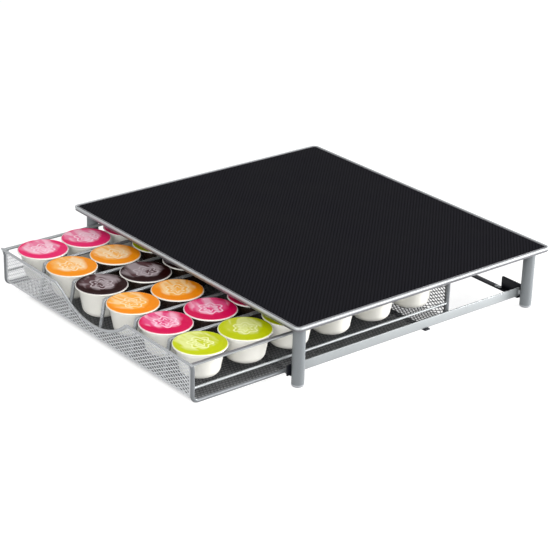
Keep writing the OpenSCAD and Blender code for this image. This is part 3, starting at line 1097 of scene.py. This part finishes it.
# Near-black plastic for the lower cups behind the first row of the inner lanes: a painted shade between
# the pods.
painted_shade_plastic = moulded_plastic("painted_shade_plastic", (0.02, 0.011, 0.007), 0.25, 0.1, coat=0.1)
pod_rows = [3, 3, 3, 2, 3, 6]
inner_lanes = range(2, 6)
cups_low, cups_high = span("pod_cups_1")
flange_r = (cups_high.x - cups_low.x) / 2
cup_h = cups_high.z - cups_low.z
flange_z = cup_h - 2
lip_r = 0.7
seal_z = cup_h - 0.15
recess_r = 9.6
recess_h = 0.8
foot_r = 20
foot_bend_r = 7.5
step_r = 23.3
step_z = 25.2
neck_r = 24.5
cup_profile = [
    (1, recess_h),
    (recess_r, recess_h),
    (recess_r + 1, 0.1),
    *arc(foot_r - foot_bend_r, foot_bend_r, foot_bend_r, -90, 0, 8),
    (step_r, step_z),
    (step_r + 0.2, step_z + 0.5),
    (step_r + 0.7, step_z + 0.8),
    (neck_r - 0.4, flange_z - 0.3),
    (neck_r, flange_z),
    *arc(flange_r - lip_r, cup_h - lip_r, lip_r, -90, 90, 6),
    (flange_r - 1.6, seal_z),
    (flange_r - 3.9, seal_z),
    (1, seal_z),
]


def each_pod():
    """Column, row and the middle of the foot of every pod."""
    for column, rows in enumerate(pod_rows, start=1):
        low, high = span(f"pod_cups_{column}")
        pitch = (high.y - low.y - 2 * flange_r) / (rows - 1)
        for row in range(rows):
            yield column, row + 1, Vector(((low.x + high.x) / 2, low.y + flange_r + pitch * row, low.z))


for column, row, foot in each_pod():
    cup = lathe(f"cup_{column}_{row}", cup_profile, foot, sides=56, sharp=30)
    place_piece(cup, cup_plastic, "cup_plastic", BODY_DRAWER, f"pod_cups_{column}")
    if column in inner_lanes and row > 1:
        cup.data.materials.append(painted_shade_plastic)
        for polygon in cup.data.polygons:
            below_flange = polygon.center.z / MM < foot.z + flange_z
            polygon.material_index = int(below_flange)


# ---- Pod lids ----
# Aluminium foil, lacquered in a bright colour with a pale rosette, heat sealed to the flange.
# The seal is flat, and inside it the foil bulges a little and is creased all round.

lid_low, lid_high = span("pod_lids_1")
lid_r = (lid_high.x - lid_low.x) / 2


def make_lid_print_and_sheen():
    """The lacquer from the middle out: a paler middle with pale swirls, both a painted sheen set off
    towards -X, a rosette, a full-coloured ring and a bare edge.
    """
    drift_mm = 14
    curl_mm = 15
    crease_mm = 7
    petals = 6.0
    petal_h = 1.8
    line_gap = 2.7
    disc_r = 13.6
    bare_edge = 0.8
    group, given, out = make_group(
        "lid_print_and_sheen", {"Ring": "Color", "Middle": "Color", "Pale and sheen": "Color"},
        {"Color": "Color", "Roughness": "Float", "Height": "Float"})
    parts = put(group, "SeparateXYZ", {0: place_mm(group)}).outputs
    x, y = parts[0], parts[1]
    own = calc(group, "MULTIPLY", put(group, "ObjectInfo").outputs["Random"], 400.0)
    here = put(group, "CombineXYZ", {0: x, 1: y, 2: own}).outputs[0]
    narrow_y = calc(group, "MULTIPLY", y, 1.5)
    wide_x = calc(group, "MULTIPLY", x, 0.5)
    drawn_out = put(group, "CombineXYZ", {0: wide_x, 1: narrow_y, 2: own}).outputs[0]
    r_squared = calc(group, "ADD", calc(group, "MULTIPLY", x, x), calc(group, "MULTIPLY", y, y))
    r = calc(group, "SQRT", r_squared)
    turn = calc(group, "ARCTAN2", y, x)
    # The paler middle and its swirls, set off towards -X, are a painted sheen of light on the foil.
    sheen_offset = calc(group, "MULTIPLY_ADD", x, 0.3, r)
    sheen_drift = calc(group, "MULTIPLY_ADD", noise_mm(group, here, drift_mm, 1.0), 12.0, sheen_offset)
    sheen_zone = remap(group, sheen_drift, 26.0, 21.0, 0.0, 1.0)
    curl = {"Vector": drawn_out, "Scale": 1 / curl_mm, "Detail": 1.0, "Distortion": 0.9}
    curls = put(group, "TexNoise", curl).outputs[0]
    painted_sheen = calc(group, "MULTIPLY", remap(group, curls, 0.44, 0.58, 0.0, 0.65), sheen_zone)
    wave = calc(group, "SINE", calc(group, "MULTIPLY", turn, petals))
    petal = calc(group, "PINGPONG", calc(group, "MULTIPLY_ADD", wave, petal_h, r), line_gap)
    rosette = remap(group, petal, 1.15, 0.75, 0.0, 0.95)
    inside = remap(group, r, disc_r, disc_r - 0.8, 0.0, 1.0)
    disc = calc(group, "MULTIPLY", inside, remap(group, r, 3.4, 4.2, 0.0, 1.0))
    colour = tint(group, calc(group, "MULTIPLY", sheen_zone, 0.8), given["Ring"], given["Middle"])
    colour = tint(group, painted_sheen, colour, given["Pale and sheen"])
    colour = tint(group, calc(group, "MULTIPLY", rosette, disc), colour, given["Pale and sheen"])
    edge = remap(group, r, lid_r - bare_edge, lid_r - bare_edge / 2, 0.0, 0.6)
    group.links.new(tint(group, edge, colour, given["Pale and sheen"]), out["Color"])
    group.links.new(remap(group, curls, 0.3, 0.7, 0.46, 0.32), out["Roughness"])
    group.links.new(noise_mm(group, here, crease_mm, 1.0), out["Height"])
    return group


lid_print_and_sheen = make_lid_print_and_sheen()


def lacquered_foil(name, ring, middle, pale, metallic):
    """Foil under coloured lacquer, from the shared print and painted sheen."""
    material, tree, shader = new_material(name, metallic)
    shader["IOR"].default_value = 1.3
    shader["Specular IOR Level"].default_value = 0.05
    design = put(tree, "Group", node_tree=lid_print_and_sheen)
    design.inputs["Ring"].default_value = (*ring, 1)
    design.inputs["Middle"].default_value = (*middle, 1)
    design.inputs["Pale and sheen"].default_value = (*pale, 1)
    tree.links.new(design.outputs["Color"], shader["Base Color"])
    tree.links.new(design.outputs["Roughness"], shader["Roughness"])
    relief(tree, shader, design.outputs["Height"], 0.12)
    return material


foil_shades = {
    "foil_pink": ((0.78, 0.018, 0.14), (0.84, 0.26, 0.42), (0.95, 0.66, 0.75), 0.2),
    "foil_orange": ((0.88, 0.28, 0.004), (0.94, 0.5, 0.14), (0.96, 0.74, 0.48), 0.2),
    "foil_brown": ((0.014, 0.002, 0.002), (0.1, 0.05, 0.055), (0.46, 0.4, 0.42), 0.0),
    "foil_amber": ((0.88, 0.26, 0.004), (0.94, 0.46, 0.08), (0.96, 0.72, 0.42), 0.2),
    "foil_magenta": ((0.64, 0.003, 0.08), (0.8, 0.1, 0.27), (0.95, 0.6, 0.72), 0.2),
    "foil_lime": ((0.5, 0.56, 0.002), (0.58, 0.63, 0.05), (0.84, 0.88, 0.42), 0.2),
}
foils = {name: lacquered_foil(name, *shades) for name, shades in foil_shades.items()}
lane_foils = list(foil_shades)
mixed_pod = (2, 3)


def lid_height(r, turn, seed):
    """Height of the foil over its underside, in millimetres."""
    seal_r = 22.4
    seal_h = 0.3
    roll_w = 0.7
    roll_drop = 0.2
    dome_r = 20.2
    dome_h = 0.304
    groove_h = 0.096
    crease_r = 19
    crease_w = 3.2
    crease_h = 0.13
    swell_mm = 13
    swell_h = 0.28
    shift = Vector((seed * 7.3, seed * 3.1, 0))
    way = Vector((math.cos(turn), math.sin(turn), 0))
    if r > seal_r:
        return seal_h - roll_drop * max(0, r - lid_r + roll_w) / roll_w
    dome = dome_h * (1 - (r / dome_r) ** 2) if r < dome_r else -groove_h
    near_crease = math.exp(-((r - crease_r) / crease_w) ** 2)
    creases = noise.noise(way * 4 + shift) * crease_h * near_crease
    swell = noise.noise(way * r / swell_mm + shift * 2) * swell_h * (1 - r / seal_r)
    return seal_h + dome + creases + swell


def foil_lid(name, centre, seed):
    """A lid about its own middle, turned a little at random."""
    sides = 72
    radii = [1, 3, 5, 7.5, 10, 12.5, 15, 17, 18.5, 20, 21.2, 22.2, 23, 24.4, 25.4, lid_r - 0.15]
    turns = [2 * math.pi * i / sides for i in range(sides)]
    rings = []
    for r in radii:
        rings.append([(r * math.cos(a), r * math.sin(a), lid_height(r, a, seed)) for a in turns])
    for r, z in ((lid_r, 0.05), (lid_r - 0.4, 0), (1, 0)):
        rings.append([(r * math.cos(a), r * math.sin(a), z) for a in turns])
    piece = loft(name, rings, sharp=60)
    piece.location = Vector(centre) * MM
    piece.rotation_euler.z = random.uniform(-0.4, 0.4)
    return piece


random.seed(11)
for column, row, foot in each_pod():
    slot = "foil_lime" if (column, row) == mixed_pod else lane_foils[column - 1]
    top = foot + Vector((0, 0, cup_h))
    lid = foil_lid(f"lid_{column}_{row}", top, column * 10 + row)
    place_piece(lid, foils[slot], slot, BODY_DRAWER, f"pod_lids_{column}")
